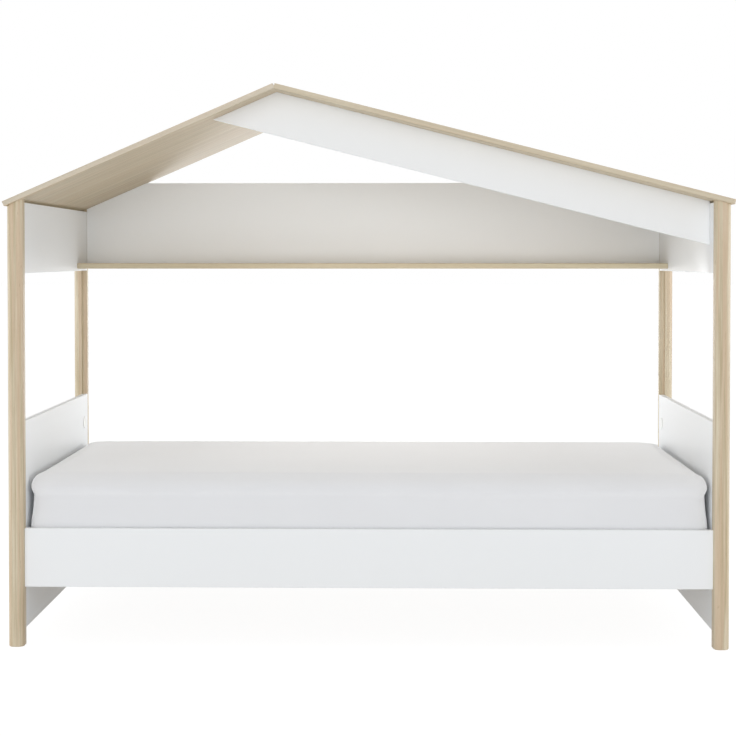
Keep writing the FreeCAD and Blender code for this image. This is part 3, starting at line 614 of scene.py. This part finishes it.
def grid_lines(half, corner, step):
    """Shares of the straight part and of the corner, each from -1 to 1, for every grid line across one
    way: first the corner's share runs up to 0, then the straight part's, then the other corner's."""
    straight = 2 * max(1, round((half - corner) / step))
    outer = np.ones(CORNER_CELLS)
    return (np.concatenate([-outer, np.linspace(-1, 1, straight + 1), outer]),
            np.concatenate([np.linspace(-1, 0, CORNER_CELLS, endpoint=False), np.zeros(straight + 1),
                            np.linspace(0, 1, CORNER_CELLS + 1)[1:]]))


def plan(inset, a, b):
    """Points of a rounded rectangle that lies inside the full size by inset.

    The ends lie inside by a smaller share of inset. a and b are (straight share, corner share) along
    and across. In a corner, the square of shares is bent to a quarter disc: each share is multiplied by
    the root of one less half the other's square.
    """
    (sa, ca), (sb, cb) = a, b
    r = MATTRESS_CORNER
    x = sa * (half_length + END_BULGE - END_ROUNDING * inset - r) + r * ca * np.sqrt(1 - cb ** 2 / 2)
    y = sb * (half_width - inset - r) + r * cb * np.sqrt(1 - ca ** 2 / 2)
    return x + mattress_middle[0], y + mattress_middle[1]


def crown(a, b, inset):
    """Height of the top above its edge: the crown times the sine of a quarter turn's share.

    The share is the distance from the edge over the crown's run, to the power of its fullness. The
    distance is a smooth least of those to the end and to the side: the powers -3 are added, and the sum
    is taken to the power -1/3.
    """
    (sa, ca), (sb, cb) = a, b
    r = MATTRESS_CORNER
    to_end = half_length - inset - np.abs(sa * (half_length - inset - r) + r * ca)
    to_side = half_width - inset - np.abs(sb * (half_width - inset - r) + r * cb)
    near = (np.maximum(to_end, 1e-6) ** -3 + np.maximum(to_side, 1e-6) ** -3) ** (-1 / 3)
    return MATTRESS_CROWN * np.sin(pi / 2 * np.minimum(near / CROWN_RUN, 1) ** CROWN_FULLNESS)


along = grid_lines(half_length, MATTRESS_CORNER, CLOTH_STEP)
across = grid_lines(half_width, MATTRESS_CORNER, CLOTH_STEP)
top_a = tuple(part[:, None] + 0 * across[0][None, :] for part in along)
top_b = tuple(0 * along[0][:, None] + part[None, :] for part in across)
top_inset = SIDE[-1, 1]
top_x, top_y = plan(top_inset, top_a, top_b)
top = np.dstack([top_x, top_y, edge + crown(top_a, top_b, top_inset)])
bottom_x, bottom_y = plan(SIDE[0, 1], top_a, top_b)
underside = np.dstack([bottom_x, bottom_y, np.full_like(bottom_x, bottom)])

# The rim of the top grid, once round from a corner, gives the outline of every row of the side.
long_way, short_way = len(along[0]) - 1, len(across[0]) - 1
rim = [np.r_[0:long_way, [long_way] * short_way, long_way:0:-1, [0] * (short_way + 1)],
       np.r_[[0] * long_way, 0:short_way, [short_way] * long_way, short_way:-1:-1]]
rim_a, rim_b = (tuple(part[rim[0], rim[1]] for part in pair) for pair in (top_a, top_b))
side_rows = smooth_rows(SIDE, CLOTH_STEP)
side_x, side_y = plan(side_rows[:, 1][:, None], rim_a, rim_b)
side_z = np.broadcast_to(side_rows[:, 0][:, None], side_x.shape)
wall_grid = np.dstack([side_x, side_y, side_z])


def grid_faces(rows, columns, start):
    """Corner numbers of each cell of a grid whose first point has the number start."""
    index = start + np.arange(rows * columns).reshape(rows, columns)
    cells = np.stack([index[:-1, :-1], index[:-1, 1:], index[1:, 1:], index[1:, :-1]], axis=-1)
    return cells.reshape(-1, 4)


# Top, underside and wall become one closed cover, merged along their rims.
cover = [top, underside, wall_grid]
starts = np.cumsum([0] + [grid.shape[0] * grid.shape[1] for grid in cover])
all_points = np.vstack([grid.reshape(-1, 3) for grid in cover])
all_faces = np.vstack([grid_faces(*grid.shape[:2], start) for grid, start in zip(cover, starts)])
sheet_mesh = bpy.data.meshes.new("fitted_sheet")
sheet_mesh.from_pydata(all_points.tolist(), [], all_faces.tolist())
work = bmesh.new()
work.from_mesh(sheet_mesh)
bmesh.ops.remove_doubles(work, verts=work.verts, dist=0.05 * MM)
bmesh.ops.recalc_face_normals(work, faces=work.faces)
work.to_mesh(sheet_mesh)
work.free()
sheet = bpy.data.objects.new("mattress_in_fitted_sheet", sheet_mesh)
scene.collection.objects.link(sheet)


def press_out(piece, still, most):
    """Fills the closed cover from inside: cloth under air pressure, gravity off, with some points held
    still. Each move keeps its direction, and its length is eased by a hyperbolic tangent, so that none
    goes further than most."""
    before = vectors_of(piece.data)
    held = piece.vertex_groups.new(name="held")
    held.add(still.tolist(), 1.0, "REPLACE")
    filling = piece.modifiers.new("filling", "CLOTH")
    filling.settings.vertex_group_mass = "held"
    filling.settings.use_pressure = True
    filling.settings.uniform_pressure_force = FILLING_PRESSURE
    filling.settings.effector_weights.gravity = 0.0
    filling.collision_settings.use_collision = False
    for moment in range(1, FILLING_FRAMES + 1):
        scene.frame_set(moment)
    filled = piece.evaluated_get(bpy.context.evaluated_depsgraph_get())
    move = vectors_of(filled.data) - before
    far = np.linalg.norm(move, axis=1, keepdims=True)
    piece.modifiers.remove(filling)
    piece.vertex_groups.remove(held)
    scene.frame_set(1)
    return before + move * most * np.tanh(far / most) / np.maximum(far, 1e-9)


def crease(places, outward):
    """Draws the sides in along the sewn seam, by a bell curve of the height times a share of the depth.
    The share is a bell curve along the bed, over a small constant part: full left of the middle, where
    the sheet is pulled, seen from the front, and also seen from the back."""
    level = outward * (1, 1, 0)
    level /= np.maximum(np.linalg.norm(level, axis=1, keepdims=True), 1e-6)
    across_seam = np.exp(-((places[:, 2] - CREASE_HEIGHT) / CREASE_HALF_HEIGHT) ** 2)
    to_the_right = -np.sign(places[:, 1]) * places[:, 0]
    pulled = np.exp(-((to_the_right + CREASE_PLACE) / CREASE_HALF_LENGTH) ** 2)
    depth = CREASE_DEPTH * across_seam * (CREASE_ELSEWHERE + (1 - CREASE_ELSEWHERE) * pulled)
    return places - level * depth[:, None]


sheet_start = vectors_of(sheet_mesh)
sheet_places = press_out(sheet, np.flatnonzero(sheet_start[:, 2] < bottom + 1 * MM), SHEET_SWELL)
sheet_places = crease(sheet_places, vectors_of(sheet_mesh, "normal"))
sheet_mesh.vertices.foreach_set("co", sheet_places.ravel())
sheet_mesh.update()
sheet_mesh.shade_smooth()
sheet_round = sheet.modifiers.new("finer", "SUBSURF")
sheet_round.levels = sheet_round.render_levels = 1

# Percale: a plain weave of fine threads, matt and faintly downy. The real threads lie 0.3 mm apart.
THREAD_PITCH = 1.2 * MM       # as fine as shows close up
cotton, cotton_tree, cotton_shader = finish("white_cotton_percale", {
    "Roughness": 0.8, "Diffuse Roughness": 1.0, "Sheen Weight": 0.6, "Sheen Roughness": 0.5, "IOR": 1.45})
cotton_place = add(cotton_tree, "TexCoord").outputs["Object"]
cotton_cloud = add(cotton_tree, "TexNoise", {"Vector": cotton_place, "Scale": 6.0, "Detail": 3.0})
cotton_tone = add(cotton_tree, "MixRGB", {"Fac": cotton_cloud, "Color1": linear("#F0F1F3"),
                                          "Color2": linear("#F3F4F6")})
cotton_threads = {"Vector": cotton_place, "Scale": ONE_WAVE / THREAD_PITCH, "Distortion": 0.4,
                  "Detail": 1.0}
threads = [add(cotton_tree, "TexWave", cotton_threads | {"bands_direction": way}) for way in "XYZ"]
weave = add(cotton_tree, "Math", {"operation": "MULTIPLY_ADD", 0: threads[0].outputs["Fac"],
                                  1: threads[1].outputs["Fac"], 2: threads[2].outputs["Fac"]})
cotton_bump = add(cotton_tree, "Bump", {"Height": weave, "Strength": 0.15, "Distance": 0.1 * MM})
cotton_tree.links.new(cotton_tone.outputs[0], cotton_shader.inputs["Base Color"])
cotton_tree.links.new(cotton_bump.outputs[0], cotton_shader.inputs["Normal"])
sheet_mesh.materials.append(cotton)

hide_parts("mattress")
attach(sheet, "mattress")

# Each corner of the sheet is closed by a rolled seam that runs from the shoulder down to the hem.
SEAM_RADIUS = 1.3 * MM
SEAM_STEP = 4 * MM
SEAM_ROWS = 60
SEAM_SIDES = 8
SEAM_TAPER = 30               # about the number of times that the seam is longer than its thin ends


def rolled_seam(path, outward):
    """A round tube along a path: rings in the plane square to the path, and the radius times the root of
    the taper times t times 1 - t, up to 1, where t runs from 0 to 1 along the path."""
    path = smooth_rows(path, SEAM_STEP)
    length = np.append(0, np.cumsum(np.linalg.norm(np.diff(path, axis=0), axis=1)))
    even = np.linspace(0, length[-1], SEAM_ROWS)
    path = np.column_stack([np.interp(even, length, way) for way in path.T])
    run = np.gradient(path, axis=0)
    run /= np.linalg.norm(run, axis=1, keepdims=True)
    across_run = np.cross(run, outward)
    across_run /= np.linalg.norm(across_run, axis=1, keepdims=True)
    off_surface = np.cross(across_run, run)
    angle = np.linspace(0, 2 * pi, SEAM_SIDES + 1)[None, :, None]
    t = np.linspace(0, 1, SEAM_ROWS)[:, None, None]
    radius = SEAM_RADIUS * np.minimum(1, SEAM_TAPER * t * (1 - t)) ** 0.5
    ring = np.cos(angle) * across_run[:, None] + np.sin(angle) * off_surface[:, None]
    return path[:, None] + radius * ring


# The wall's first row is the hem and its last three are the top of the shoulder, and the seams leave
# these out.
seam_grids = []
for column in (0, long_way, long_way + short_way, 2 * long_way + short_way):
    wall_column = wall_grid[1:-3, column]
    nearest = [int(np.argmin(((sheet_start - point) ** 2).sum(axis=1))) for point in wall_column]
    corner_way = np.append(np.sign(wall_column[0, :2] - mattress_middle), 0.0) / 2 ** 0.5
    seam_grids.append(rolled_seam(sheet_places[nearest], corner_way))
seams = grid_piece("fitted_sheet_corner_seams", np.array(seam_grids), cotton)
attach(seams, "mattress")
